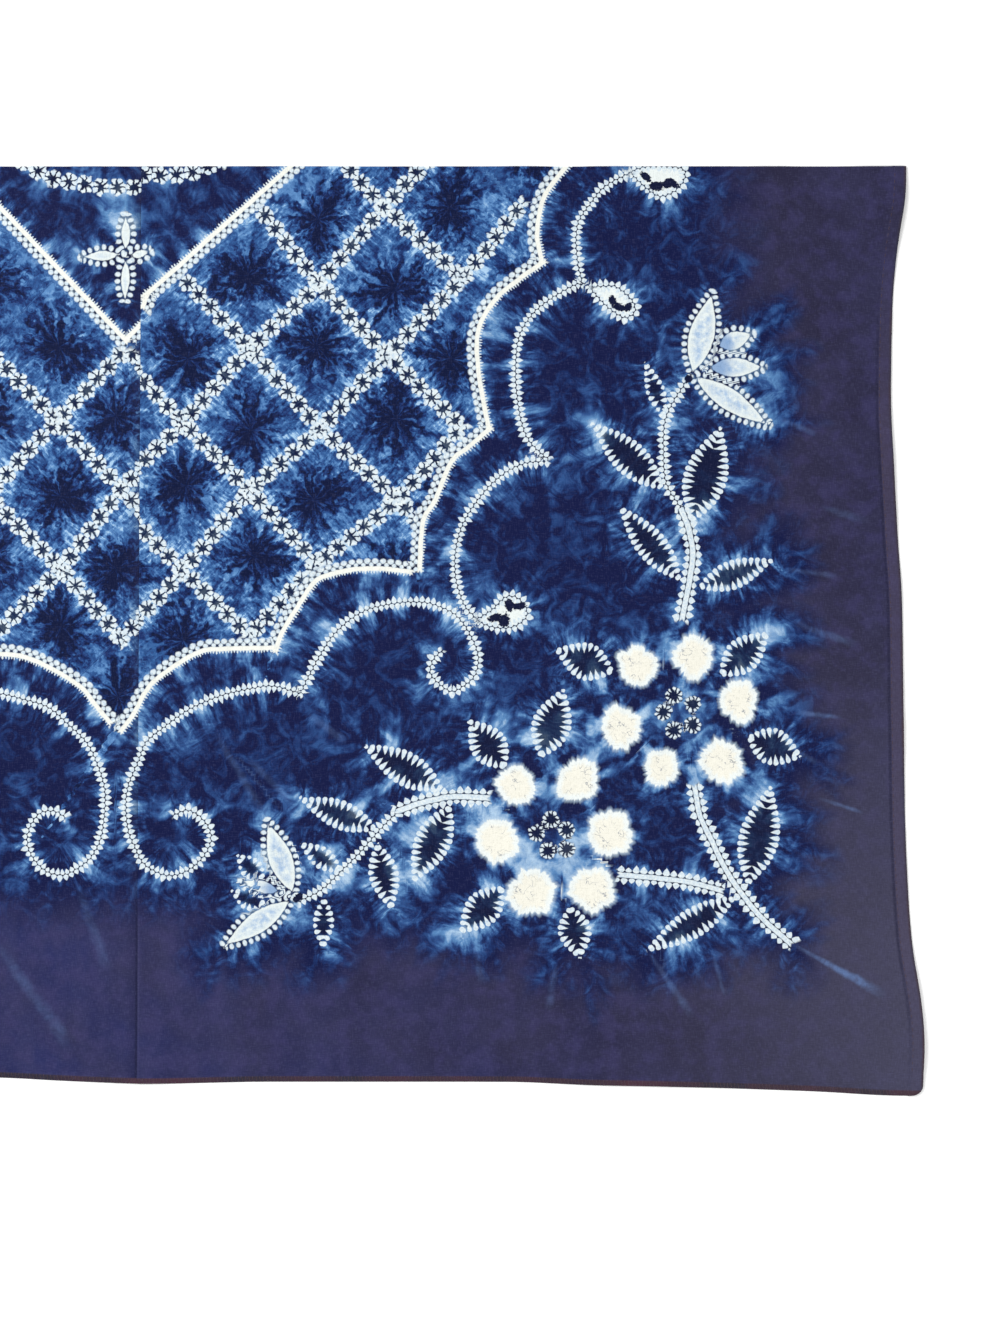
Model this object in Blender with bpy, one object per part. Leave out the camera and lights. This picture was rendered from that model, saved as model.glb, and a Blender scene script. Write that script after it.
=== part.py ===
"""Hemmed corner length of a stitch-resist dyed cotton cloth, lying flat.

One panel of plain-weave cotton. Its left and top sides are straight cuts. Its right and bottom
sides are turned under in a hem, and wander a little, as a washed cloth does. A pressed tuck runs
from the top cut to the bottom hem, where the right-hand cloth laps over the left. The rest lies
flat on z = 0, apart from a few low ripples along the hems.
"""
import bmesh
import bpy
import numpy as np

# Overall size. The panel is centred on the origin, with its length along Y.
WIDTH = 0.906           # left cut edge to the outermost point of the right hem
LENGTH = 0.892          # top cut edge to the lowest point of the bottom hem
THICKNESS = 0.0012      # one layer with its nap, as a solid
HEM_LAYERS = 0.0008     # what the turned layers add along the hemmed sides
SIDE_HEM = 0.013
BOTTOM_HEM = 0.006
CORNER_RADIUS = 0.011

# The pressed tuck: a steep edge that faces left, and a long slope to its right.
TUCK_TOP_X = -0.2975
TUCK_BOTTOM_X = -0.3025
TUCK_HEIGHT = 0.0022
TUCK_STEP = 0.002
TUCK_SLOPE = 0.024
TUCK_FADE_FROM = 0.03   # from this y down to the bottom hem the lap grows lower
TUCK_END_SHARE = 0.35   # what is left of its height at the bottom hem

# How far the right hem stands in from its outermost point, from the bottom to the top.
SIDE_INSET = (
    (-0.446, 0.0020), (-0.412, 0.0000), (-0.388, 0.0000), (-0.345, 0.0045), (-0.310, 0.0105),
    (-0.265, 0.0145), (-0.190, 0.0180), (-0.070, 0.0200), (0.023, 0.0210), (0.100, 0.0260),
    (0.175, 0.0300), (0.215, 0.0320), (0.310, 0.0305), (0.385, 0.0235), (0.405, 0.0185),
    (0.446, 0.0172),
)

# How far the bottom hem stands up from its lowest point, from the left to the right.
BOTTOM_RISE = (
    (-0.453, 0.0180), (-0.357, 0.0135), (-0.280, 0.0115), (-0.200, 0.0135), (0.040, 0.0135),
    (0.104, 0.0125), (0.142, 0.0097), (0.219, 0.0088), (0.276, 0.0068), (0.353, 0.0040),
    (0.430, 0.0000),
)

# Low ripples where the cloth lifts off the surface: centre x and y, half length and width, rise.
RIPPLES = (
    (0.415, 0.400, 0.050, 0.055, 0.0035),
    (0.430, 0.170, 0.040, 0.110, 0.0020),
    (0.445, -0.070, 0.035, 0.120, 0.0015),
    (0.450, -0.385, 0.060, 0.075, 0.0040),
    (0.180, -0.446, 0.110, 0.035, 0.0020),
    (-0.300, -0.446, 0.045, 0.040, 0.0018),
)

# The grid's lines: how many run in each zone between the cut edges, the tuck and the hems.
COLUMNS_LEFT = 5
TUCK_COLUMNS = (-0.002, 0.0, 0.009, 0.024)   # across the tuck, from its folded edge
COLUMNS_MIDDLE = 10
COLUMNS_RIPPLED = 6
COLUMNS_HEM = (0.0, 0.5, 1.0)                # shares of the side hem, from its inner edge out
LEFT_OF_TUCK = 0.012                         # where the even columns stop, each side of the tuck
RIGHT_OF_TUCK = 0.045
RIPPLED_BORDER = 0.110
ROWS_BODY = 30
ROWS_CORNER = (0.0, 0.12, 0.4, 1.0)          # shares of the corner's radius, from the bottom up

# Indigo on cotton: deep blue and quite matt.
DYED_COTTON = (0.035, 0.045, 0.13, 1.0)
COTTON_ROUGHNESS = 0.9


def clear_scene():
    for old in list(bpy.data.objects):
        bpy.data.objects.remove(old, do_unlink=True)


def edge_curve(points, where):
    """A smooth curve through the points that never swings past them."""
    at, value = np.array(points).T
    step = np.diff(at)
    slope = np.diff(value) / step
    tangent = np.zeros(len(at))
    same_way = slope[:-1] * slope[1:] > 0
    mean = 2 * slope[:-1] * slope[1:] / np.where(same_way, slope[:-1] + slope[1:], 1)
    tangent[1:-1] = np.where(same_way, mean, 0)
    span = np.clip(np.searchsorted(at, where) - 1, 0, len(step) - 1)
    t = np.clip((where - at[span]) / step[span], 0, 1)
    start = value[span] + step[span] * tangent[span] * t * (1 - t) ** 2
    end = -step[span] * tangent[span + 1] * t ** 2 * (1 - t)
    return start + end + (value[span + 1] - value[span]) * t * t * (3 - 2 * t)


def right_side(y):
    """The right hem's fold, without the round of the corner."""
    return WIDTH / 2 - edge_curve(SIDE_INSET, y)


def bottom_side(x):
    return -LENGTH / 2 + edge_curve(BOTTOM_RISE, x)


def tuck_line(y):
    return TUCK_TOP_X + (TUCK_BOTTOM_X - TUCK_TOP_X) * (LENGTH / 2 - y) / LENGTH


def grid_lines():
    """The plan of the grid, one row of x and y for each line of points across the cloth."""
    corner_rows = CORNER_RADIUS * np.array(ROWS_CORNER)
    hem_rows = np.array([BOTTOM_HEM, BOTTOM_HEM + HEM_LAYERS])
    low_rows = np.sort(np.concatenate([corner_rows, hem_rows]))
    rows = [grid_row(low, 0.0) for low in low_rows]
    rows += [grid_row(low_rows[-1], share) for share in np.linspace(0, 1, ROWS_BODY)[1:]]
    return np.array(rows)


def grid_row(low, share):
    """One line of points: low is its height over the bottom fold, share how far up it then is."""
    level = -LENGTH / 2 + low + share * (LENGTH - low)
    left = -WIDTH / 2
    right = right_side(level)
    tuck = tuck_line(level)
    fold = right - SIDE_HEM
    border = fold - RIPPLED_BORDER
    x = np.concatenate([
        np.linspace(left, tuck - LEFT_OF_TUCK, COLUMNS_LEFT),
        tuck + np.array(TUCK_COLUMNS),
        np.linspace(tuck + RIGHT_OF_TUCK, border, COLUMNS_MIDDLE),
        np.linspace(border, fold - HEM_LAYERS, COLUMNS_RIPPLED)[1:],
        fold + SIDE_HEM * np.array(COLUMNS_HEM),
    ])
    base = bottom_side(x)
    y = base + low + share * (LENGTH / 2 - base - low)
    if low < CORNER_RADIUS:
        rise = CORNER_RADIUS - low
        cut = CORNER_RADIUS - np.sqrt(CORNER_RADIUS ** 2 - rise ** 2)
        x[-len(COLUMNS_HEM):] -= cut * np.array(COLUMNS_HEM)
    return np.stack([x, y], axis=1)


def tuck_rise(x, y):
    """The lap's height: up within a short step at its folded edge, then a long slope down."""
    from_edge = x - tuck_line(y)
    up = np.clip(1 + from_edge / TUCK_STEP, 0, 1)
    down = np.clip(1 - from_edge / TUCK_SLOPE, 0, 1) ** 2
    fade = np.clip((y + LENGTH / 2) / (LENGTH / 2 + TUCK_FADE_FROM), 0, 1)
    return TUCK_HEIGHT * (TUCK_END_SHARE + (1 - TUCK_END_SHARE) * fade) * np.where(from_edge < 0, up, down)


def ripple_lift(x, y):
    lift = np.zeros_like(x)
    for centre_x, centre_y, half_x, half_y, rise in RIPPLES:
        away = np.hypot((x - centre_x) / half_x, (y - centre_y) / half_y)
        lift += rise * np.cos(np.clip(away, 0, 1) * np.pi / 2) ** 2
    return lift


def hem_layers(x, y):
    """Extra thickness on the points that lie in a turned hem."""
    hem = np.zeros_like(x)
    hem[:, -len(COLUMNS_HEM):] = HEM_LAYERS
    hem[y < bottom_side(x) + BOTTOM_HEM + HEM_LAYERS / 2] = HEM_LAYERS
    return hem


def build_cloth():
    plan = grid_lines()
    rows, columns = plan.shape[:2]
    x, y = plan[..., 0], plan[..., 1]
    under = ripple_lift(x, y)
    over = under + THICKNESS + tuck_rise(x, y) + hem_layers(x, y)

    mesh = bpy.data.meshes.new("cloth")
    shape = bmesh.new()
    below, above = (
        [[shape.verts.new((*plan[r, c], level[r, c])) for c in range(columns)] for r in range(rows)]
        for level in (under, over))
    for r in range(rows - 1):
        for c in range(columns - 1):
            shape.faces.new((above[r][c], above[r][c + 1], above[r + 1][c + 1], above[r + 1][c]))
            shape.faces.new((below[r][c], below[r + 1][c], below[r + 1][c + 1], below[r][c + 1]))
    rim = [(0, c) for c in range(columns)]
    rim += [(r, columns - 1) for r in range(1, rows)]
    rim += [(rows - 1, c) for c in range(columns - 2, -1, -1)]
    rim += [(r, 0) for r in range(rows - 2, 0, -1)]
    for (r, c), (next_r, next_c) in zip(rim, rim[1:] + rim[:1]):
        shape.faces.new((below[r][c], below[next_r][next_c], above[next_r][next_c], above[r][c]))
    shape.to_mesh(mesh)
    shape.free()
    mesh.shade_smooth()
    cloth = bpy.data.objects.new("cloth", mesh)
    bpy.context.scene.collection.objects.link(cloth)
    return cloth


def dye(cloth):
    cotton = bpy.data.materials.new("indigo_dyed_cotton")
    cotton.use_nodes = True
    shader = cotton.node_tree.nodes["Principled BSDF"]
    shader.inputs["Base Color"].default_value = DYED_COTTON
    shader.inputs["Roughness"].default_value = COTTON_ROUGHNESS
    shader.inputs["Metallic"].default_value = 0.0
    cloth.data.materials.append(cotton)


clear_scene()
dye(build_cloth())
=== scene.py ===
import bpy
import numpy as np
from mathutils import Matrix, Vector
from mathutils.bvhtree import BVHTree
from mathutils.kdtree import KDTree


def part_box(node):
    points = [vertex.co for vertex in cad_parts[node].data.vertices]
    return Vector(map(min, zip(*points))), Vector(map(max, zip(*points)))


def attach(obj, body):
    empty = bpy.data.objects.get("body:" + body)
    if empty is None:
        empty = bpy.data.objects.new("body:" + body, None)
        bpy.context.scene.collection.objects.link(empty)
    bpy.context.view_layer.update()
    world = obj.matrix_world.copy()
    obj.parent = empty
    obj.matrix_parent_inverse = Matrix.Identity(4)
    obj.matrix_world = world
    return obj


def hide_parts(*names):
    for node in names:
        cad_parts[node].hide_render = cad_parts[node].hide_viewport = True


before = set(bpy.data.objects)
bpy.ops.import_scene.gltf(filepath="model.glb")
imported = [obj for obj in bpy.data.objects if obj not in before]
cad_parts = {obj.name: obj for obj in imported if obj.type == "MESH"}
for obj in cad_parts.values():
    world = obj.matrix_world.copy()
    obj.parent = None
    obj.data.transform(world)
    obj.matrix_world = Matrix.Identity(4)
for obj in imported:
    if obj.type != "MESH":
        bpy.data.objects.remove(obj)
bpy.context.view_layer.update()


# ---- The camera -------------------------------------------------------------------------------
# It looks straight down on the cloth. The frame's left side cuts the cloth off 19 mm inside its
# cut edge, and the other three sides leave surface showing all round.
VIEW_HEIGHT = 1.280            # metres of surface from the top of the frame to its bottom
VIEW_CENTRE = (0.046, -0.034)
LENS_MM = 50
SENSOR_MM = 36

camera = bpy.data.objects.new("camera", bpy.data.cameras.new("camera"))
bpy.context.scene.collection.objects.link(camera)
camera.data.lens = LENS_MM
camera.data.sensor_width = SENSOR_MM
camera.location = (*VIEW_CENTRE, VIEW_HEIGHT * LENS_MM / SENSOR_MM)
bpy.context.scene.camera = camera


# ---- The cloth: one panel of dyed cotton -------------------------------------------------------
# A length of plain-weave cotton, about 0.35 mm thick. Its pattern was drawn up with stitches,
# pulled tight, dyed in indigo and unpicked, so the dye never reached the gathered lines. The top
# and left sides are cut, and the right and bottom sides are turned under twice and sewn down.

# The shape. Plan sizes are in mm from the middle of the piece, heights in mm over the surface.
MM = 0.001
MM_IN_METRE = 1000
LEFT_CUT, BOTTOM_FOLD, _ = (MM_IN_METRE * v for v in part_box("cloth")[0])
RIGHT_FOLD, TOP_CUT, _ = (MM_IN_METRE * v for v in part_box("cloth")[1])
STITCHED_STEP = 2.85           # the mesh's step where there is stitching
BORDER_STEP = 7.0              # its step in the plain border
STITCHED_RIGHT = 345           # the plain border starts here
STITCHED_BOTTOM = -325         # and here
CORNER_RADIUS = 11
CLOTH_REST = 0.35              # how high the middle of one layer lies

# The pressed tuck: the right-hand cloth laps over the left, deepest at the top.
TUCK_TOP_X, TUCK_BOTTOM_X = -297.5, -302.5
LAP_TOP, LAP_BOTTOM = 6.0, 1.5
LAP_FADE_FROM = 30
LAP_RISE = 1.3
LAP_EDGE = 1.2                 # from the folded edge to the lap's highest line
LAP_SLOPE = 26

# Each hem's section, from the face round to the raw edge inside it: in from the fold, and height.
SIDE_HEM = (
    (17.0, 0.00), (14.6, 0.12), (12.8, 0.80), (10.4, 0.95), (7.0, 0.90), (4.0, 0.90), (1.4, 0.85),
    (0.4, 0.65), (0.0, 0.35), (0.4, 0.05), (1.4, -0.05), (6.0, -0.08), (11.6, -0.08), (12.6, 0.05),
    (11.6, 0.30), (7.0, 0.35), (3.0, 0.35),
)
BOTTOM_HEM = (
    (8.5, 0.00), (6.8, 0.10), (5.6, 0.65), (4.2, 0.85), (2.6, 0.85), (1.2, 0.80), (0.3, 0.60),
    (0.0, 0.35), (0.3, 0.05), (1.2, -0.05), (3.4, -0.08), (4.8, -0.05), (5.3, 0.10), (4.8, 0.28),
    (3.2, 0.32), (1.8, 0.32),
)


def rim(along, out, at):
    """The outermost points of one side of the solid, as a line rounded off where it turns."""
    beyond = np.array([out[np.abs(along - a) < 3].max() for a in along])
    kept = out > beyond - 1
    order = np.argsort(along[kept])
    line = np.interp(at, along[kept][order], out[kept][order])
    reach = 10
    before, after = 2 * line[0] - line[reach:0:-1], 2 * line[-1] - line[-2:-reach - 2:-1]
    ends = np.concatenate([before, line, after])
    weight = np.hanning(2 * reach + 3)[1:-1]
    return np.convolve(ends, weight / weight.sum(), mode="valid")


def steps(start, end, step):
    """Even places from start to end, about a step apart."""
    return np.linspace(start, end, max(2, round(abs(end - start) / step) + 1))


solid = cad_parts["cloth"]
corners = np.empty(len(solid.data.vertices) * 3)
solid.data.vertices.foreach_get("co", corners)
solid_x, solid_y, _ = MM_IN_METRE * corners.reshape(-1, 3).T
OUTLINE_STEP = 2.5
levels = np.arange(BOTTOM_FOLD + 2 * CORNER_RADIUS, TOP_CUT + 1, OUTLINE_STEP)
stations = np.arange(LEFT_CUT, RIGHT_FOLD - 2 * CORNER_RADIUS, OUTLINE_STEP)
on_side = (solid_x > RIGHT_FOLD - 40) & (solid_y > levels[0] - 12)
on_hem = (solid_y < BOTTOM_FOLD + 20) & (solid_x < stations[-1] + 12)
side_line = rim(solid_y[on_side], solid_x[on_side], levels)
hem_line = -rim(solid_x[on_hem], -solid_y[on_hem], stations)

# Rows run up the cloth: the hem from its raw edge round to the face, the border, the pattern.
hem_rows = np.array(BOTTOM_HEM)[::-1]
border_rows = steps(hem_rows[-1, 0], STITCHED_BOTTOM - BOTTOM_FOLD, BORDER_STEP)[1:]
body_rows = steps(STITCHED_BOTTOM - BOTTOM_FOLD, TOP_CUT - BOTTOM_FOLD, STITCHED_STEP)[1:]
row_in = np.concatenate([hem_rows[:, 0], border_rows, body_rows])
row_high = np.concatenate([hem_rows[:, 1], 0 * border_rows, 0 * body_rows])

# Columns run from the left cut edge, through the tuck's three layers, to the side hem.
level = BOTTOM_FOLD + row_in
down = (TOP_CUT - level) / (TOP_CUT - BOTTOM_FOLD)
tuck_x = TUCK_TOP_X + (TUCK_BOTTOM_X - TUCK_TOP_X) * down
up_the_fade = np.clip((level - BOTTOM_FOLD) / (LAP_FADE_FROM - BOTTOM_FOLD), 0, 1)
lap = LAP_BOTTOM + (LAP_TOP - LAP_BOTTOM) * up_the_fade
side_x = np.interp(level, levels, side_line)
LEFT_SHARES = steps(0, 1, STITCHED_STEP / (TUCK_TOP_X - LEFT_CUT))
BODY_SHARES = steps(0, 1, STITCHED_STEP / (STITCHED_RIGHT - TUCK_TOP_X))[1:]
BORDER_SHARES = steps(0, 1, BORDER_STEP / (RIGHT_FOLD - SIDE_HEM[0][0] - STITCHED_RIGHT))[1:-1]
lap_high = LAP_RISE * (0.3 + 0.7 * (lap - LAP_BOTTOM) / (LAP_TOP - LAP_BOTTOM))
rows_x, rows_z = [], []
for r in range(len(level)):
    under = tuck_x[r] + lap[r]
    left = LEFT_CUT + (tuck_x[r] - 1.5 - LEFT_CUT) * LEFT_SHARES
    turn = np.array([
        tuck_x[r] + 0.5 * lap[r], under - 0.2, under, under - 0.3, tuck_x[r] + 0.5,
        tuck_x[r] - 0.3, tuck_x[r] - 0.4, tuck_x[r] + 0.1, tuck_x[r] + LAP_EDGE])
    turn_z = lap_high[r] * np.array([0.0, 0.08, 0.25, 0.42, 0.45, 0.55, 0.78, 0.97, 1.0])
    body = tuck_x[r] + LAP_EDGE + (STITCHED_RIGHT - tuck_x[r] - LAP_EDGE) * BODY_SHARES
    body_z = lap_high[r] * np.clip(1 - (body - tuck_x[r] - LAP_EDGE) / LAP_SLOPE, 0, 1) ** 2
    fold = side_x[r] - np.array(SIDE_HEM)[:, 0]
    border = STITCHED_RIGHT + (fold[0] - STITCHED_RIGHT) * BORDER_SHARES
    rise = max(0, CORNER_RADIUS - row_in[r])
    cut = CORNER_RADIUS - (CORNER_RADIUS ** 2 - rise ** 2) ** 0.5
    fold = fold - cut * np.clip(1 - np.array(SIDE_HEM)[:, 0] / 16, 0, 1)
    rows_x.append(np.concatenate([left, turn, body, border, fold]))
    rows_z.append(np.concatenate([0 * left, turn_z, body_z, 0 * border, np.array(SIDE_HEM)[:, 1]]))
plan_x = np.array(rows_x)
left_columns = len(LEFT_SHARES) + 4
foot = np.interp(plan_x, stations, hem_line)
plan_y = foot + row_in[:, None] * (TOP_CUT - foot) / (TOP_CUT - BOTTOM_FOLD)
height = CLOTH_REST + np.array(rows_z) + row_high[:, None]
on_left = np.zeros(plan_x.shape, bool)
on_left[:, :left_columns] = True

# The stitched lines, in mm. Each runs on the left sheet of the tuck, the right sheet, or both.
LEFT, RIGHT, BOTH = "left", "right", "both"

# A plain white band with two rows of stitch marks on the lattice's side, which is to its left:
# the V, drawn towards the top left on one arm and down on the other, then the scalloped edge.
BANDS = (
    (LEFT, ((-313, 279), (-434, 407), (-470, 445))),
    (RIGHT, ((-145, 455), (-156, 445), (-282, 333), (-292, 323), (-296, 312))),
    (LEFT, ((-292, 300), (-297, 296), (-312, 281))),
    (LEFT, ((-470, -20), (-434, -22), (-414, -24), (-388, -34), (-357, -53), (-343, -70), (-329, -87))),
    (BOTH, ((-317, -95), (-306, -80), (-291, -54), (-273, -38), (-243, -20), (-218, -17), (-174, -16))),
    (RIGHT, ((-169, -18), (-163, -1), (-151, 19), (-133, 46), (-118, 54), (-95, 59), (-69, 60), (-41, 57))),
    (RIGHT, ((-31, 60), (-30, 84), (-27, 108), (-16, 126), (-1, 162), (15, 176), (36, 194))),
    (RIGHT, ((35, 196), (30, 220), (25, 251), (24, 281), (30, 301), (46, 323), (66, 339), (87, 354))),
    (RIGHT, ((86, 356), (82, 376), (83, 396), (90, 420), (107, 443), (118, 458))),
)
BAND_STITCH = 7.2

# Two rows of stitch marks back to back: the scrolls. The last number is the white core between
# the rows, in mm, which opens up on the flower stems.
SCROLLS = (
    (LEFT, 5.3, 0, ((-470, -58), (-434, -60), (-410, -66), (-388, -73), (-368, -90), (-349, -110),
                    (-335, -144), (-333, -168), (-337, -198), (-345, -215), (-357, -226), (-373, -234),
                    (-390, -230), (-403, -216), (-408, -200), (-403, -184), (-394, -174), (-381, -173),
                    (-373, -178))),
    (BOTH, 5.3, 0, ((-145, -60), (-171, -53), (-192, -55), (-222, -62), (-252, -75), (-276, -92),
                    (-293, -106), (-300, -122), (-311, -149), (-313, -168), (-311, -190), (-304, -208),
                    (-295, -224), (-276, -234), (-258, -232), (-242, -220), (-232, -204), (-233, -190),
                    (-242, -178), (-254, -172), (-266, -176))),
    (RIGHT, 5.3, 0, ((-146, -60), (-130, -29), (-113, -3), (-89, 17), (-65, 25), (-36, 28), (-16, 25),
                     (4, 15), (17, -3), (25, -24), (22, -42), (12, -52), (0, -58), (-12, -51), (-21, -40),
                     (-18, -27), (-11, -20))),
    (RIGHT, 5.3, 0, ((91, 163), (70, 161), (48, 150), (28, 130), (10, 102), (3, 73), (4, 48), (12, 25),
                     (26, 9))),
    (RIGHT, 5.3, 0, ((91, 166), (76, 180), (68, 196), (63, 220), (61, 251), (64, 281), (76, 303),
                     (92, 317), (117, 332), (124, 333))),
    (RIGHT, 5.3, 0, ((125, 334), (121, 352), (119, 372), (121, 392), (131, 408), (147, 427), (171, 440))),
    (RIGHT, 5.6, 0, ((223, 237), (211, 218), (204, 200), (203, 169), (206, 141), (219, 119))),
    (RIGHT, 7.2, 2.6, ((220, 117), (227, 98), (231, 73), (227, 44), (221, 13))),
    (RIGHT, 7.2, 2.6, ((33, -160), (0, -159), (-30, -165), (-52, -173))),
    (RIGHT, 5.6, 0, ((-54, -175), (-69, -190), (-87, -211), (-108, -232), (-125, -248), (-146, -259))),
    (RIGHT, 7.2, 2.4, ((233, -151), (238, -177), (250, -203), (264, -231), (281, -256), (300, -278),
                       (324, -299))),
    (RIGHT, 7.2, 2.4, ((162, -234), (196, -237), (228, -241), (258, -249))),
)

# Rows of tied stars. The lattice needs two sets, because its lines cross.
STAR_STEP = 15.8
STARS_DOWN = (
    (LEFT, ((-313, 271), (-294, 251))),
    (RIGHT, ((-303, 247), (-258, 200), (-194, 134), (-129, 64))),
    (RIGHT, ((-259, 340), (-194, 271), (-126, 195), (-53, 126), (-12, 80))),
    (RIGHT, ((-184, 405), (-128, 334), (-62, 265), (9, 196))),
    (RIGHT, ((-103, 448), (-65, 407), (10, 339))),
    (LEFT, ((-444, 268), (-379, 202), (-317, 136), (-294, 112))),
    (RIGHT, ((-303, 103), (-258, 58), (-194, -5))),
    (LEFT, ((-444, 128), (-376, 60), (-318, -7))),
    (LEFT, ((-444, 471), (-403, 445), (-383, 434), (-353, 429), (-333, 426), (-292, 426))),
    (RIGHT, ((-304, 438), (-262, 438), (-236, 445), (-210, 457))),
)
STARS_UP = (
    (LEFT, ((-313, 271), (-379, 202), (-444, 133))),
    (RIGHT, ((-17, 457), (-65, 407), (-128, 334), (-194, 271), (-258, 200), (-303, 156))),
    (LEFT, ((-290, 162), (-317, 136), (-376, 60), (-444, -8))),
    (RIGHT, ((67, 409), (10, 339), (-62, 265), (-126, 195), (-194, 134), (-258, 58), (-303, 10))),
    (LEFT, ((-290, 20), (-318, -7))),
    (RIGHT, ((9, 196), (-53, 126), (-129, 64), (-194, -5))),
)

# Leaves and petals with stitched outlines: tip, base, width, and how long the teeth are. They point
# inwards, or where the inside was wrapped and stayed pale, outwards, which a minus sign means. The
# small petals of the two buds, whose bases took some dye, have the shortest ones.
LEAVES = (
    ((186, 257), (204, 206), 16, 6), ((135, 199), (202, 137), 31, 9), ((258, 196), (230, 105), 40, 11),
    ((161, 119), (219, 49), 28, 9), ((307, 68), (237, 42), 26, 9),
    ((-84, -110), (-9, -152), 31, 10), ((-145, -161), (-73, -190), 26, 9),
    ((-37, -240), (-2, -168), 33, 10), ((-58, -267), (-72, -205), 27, 9),
    ((-145, -204), (-107, -230), 19, 7), ((-124, -305), (-123, -257), 18, 7),
    ((306, -149), (284, -243), 37, 10), ((187, -307), (271, -256), 27, 9),
    ((303, -2), (258, -42), 32, 9), ((335, -121), (284, -102), 34, 9), ((100, -18), (154, -39), 34, 9),
    ((107, -56), (85, -121), 36, 10), ((17, -86), (51, -131), 34, 10), ((8, -289), (49, -246), 32, 9),
    ((123, -314), (113, -265), 30, 9),
    ((-206, -216), (-181, -238), 20, 6), ((-211, -250), (-180, -263), 20, 6),
    ((249, 323), (231, 248), 25, -4.5), ((303, 198), (233, 244), 21, -4.5),
    ((298, 253), (247, 253), 19, -4), ((287, 285), (256, 273), 18, -4),
    ((-177, -184), (-153, -251), 23, -4.5), ((-218, -301), (-156, -259), 21, -4.5),
    ((-201, -240), (-166, -250), 12, -4),
    ((-313, 398), (-313, 366), 9, -4.5), ((-354, 359), (-319, 361), 10, -4.5),
    ((-314, 317), (-313, 357), 9, -4.5), ((-290, 364), (-309, 360), 8, -4.5),
)
LEAF_STITCH = 6.3
SMALL_PETALS = -4.25           # between the small petals' teeth and the other pale ones'

# Rings at the scrolls' ends, wrapped inside, so they stayed white: closed outlines.
RING_STITCH = 5.3
RINGS = (
    ((23, 11), (38, 20), (50, 32), (60, 33), (69, 26), (72, 16), (67, 9), (58, 4), (45, 3), (32, 6),
     (23, 11)),
    ((132, 330), (144, 331), (156, 331), (166, 324), (174, 315), (175, 306), (168, 301), (159, 304),
     (146, 314), (132, 330)),
    ((170, 441), (190, 446), (220, 444), (222, 432), (210, 420), (197, 418), (181, 430), (170, 441)),
)

# Petals capped with a tied cover, so they stayed white: centre, and half width and length. Each
# flower has six, listed in the order of the flowers.
PETALS = (
    (231, -24, 21, 24), (178, -33, 20, 21), (162, -92, 24, 21), (201, -130, 20, 21), (259, -124, 22, 24),
    (276, -67, 24, 20),
    (62, -148, 20, 21), (121, -144, 21, 24), (42, -201, 23, 22), (152, -194, 24, 23), (77, -251, 24, 25),
    (135, -248, 23, 24),
)
FLOWERS = ((218, -80), (100, -201))
PETALS_EACH = 6
FLOWER_RADIUS = 62

# Small tied stars at the flowers' centres.
EYES = (
    (213, -62), (231, -70), (203, -78), (213, -95), (231, -90),
    (95, -181), (110, -191), (81, -194), (92, -211), (110, -209),
)

# Dark blots where dye ran in under the ties: centre, half length, half width, turn in degrees.
BLOTS = (
    (55, 25, 7, 5, 110), (65, 24, 7, 4, 10), (41, 13, 8, 4, 20), (50, 10, 7, 6, 70),
    (154, 317, 6, 4, 115), (160, 311, 8, 4, 160), (169, 311, 5, 4, 60),
    (186, 436, 7, 4, 140), (196, 427, 8, 5, 0), (208, 430, 7, 5, 20), (214, 428, 5, 3, 160),
    (227, 242, 5, 4, 60), (-148, -256, 6, 4, 40),
)

# Long pale folds where cloth lay bunched in the bath: both ends, half width at each, and strength.
PALE_FOLDS = (
    (326, -300, 418, -351, 2.0, 7.5, 0.95), (351, -160, 396, -175, 2.5, 3.0, 0.45),
    (330, -78, 376, -83, 4.0, 2.5, 0.45), (320, -108, 352, -128, 3.0, 4.0, 0.35),
    (187, -306, 232, -372, 3.0, 6.0, 0.35), (250, -308, 262, -352, 3.0, 3.0, 0.35),
    (214, -270, 205, -322, 3.5, 2.5, 0.30), (-440, -296, -362, -404, 6.0, 11.0, 0.30),
    (-360, -240, -330, -330, 5.0, 9.0, 0.22), (20, -292, 28, -340, 4.0, 5.0, 0.25),
    (100, -318, 92, -366, 4.0, 6.0, 0.25), (318, 60, 372, 52, 3.0, 5.0, 0.30),
    (322, 10, 392, -14, 4.0, 6.0, 0.30), (312, 205, 352, 188, 3.0, 5.0, 0.30),
    (352, 120, 402, 104, 4.0, 7.0, 0.20), (-196, -122, -150, -168, 5.0, 5.0, 0.35),
    (-140, -78, -100, -108, 4.0, 6.0, 0.30), (-228, -96, -172, -190, 4.0, 7.0, 0.28),
)


def trace(points, step=1.0):
    """A smooth line through the points: places along it, the way it runs, and its length so far."""
    points = np.array(points, float)
    padded = np.vstack([2 * points[0] - points[1], points, 2 * points[-1] - points[-2]])
    places = []
    for a, b, c, d in zip(padded[:-3], padded[1:-2], padded[2:-1], padded[3:]):
        t = np.linspace(0, 1, max(3, int(np.hypot(*(c - b)) / step)), endpoint=False)[:, None]
        squared, cubed = 2 * a - 5 * b + 4 * c - d, 3 * b - a - 3 * c + d
        places.append(0.5 * (2 * b + (c - a) * t + squared * t ** 2 + cubed * t ** 3))
    places = np.vstack(places + [points[-1:]])
    run = np.concatenate([[0], np.cumsum(np.hypot(*np.diff(places, axis=0).T))])
    way = np.gradient(places, axis=0)
    way /= np.hypot(way[:, 0], way[:, 1])[:, None]
    return places, way, run


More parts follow.
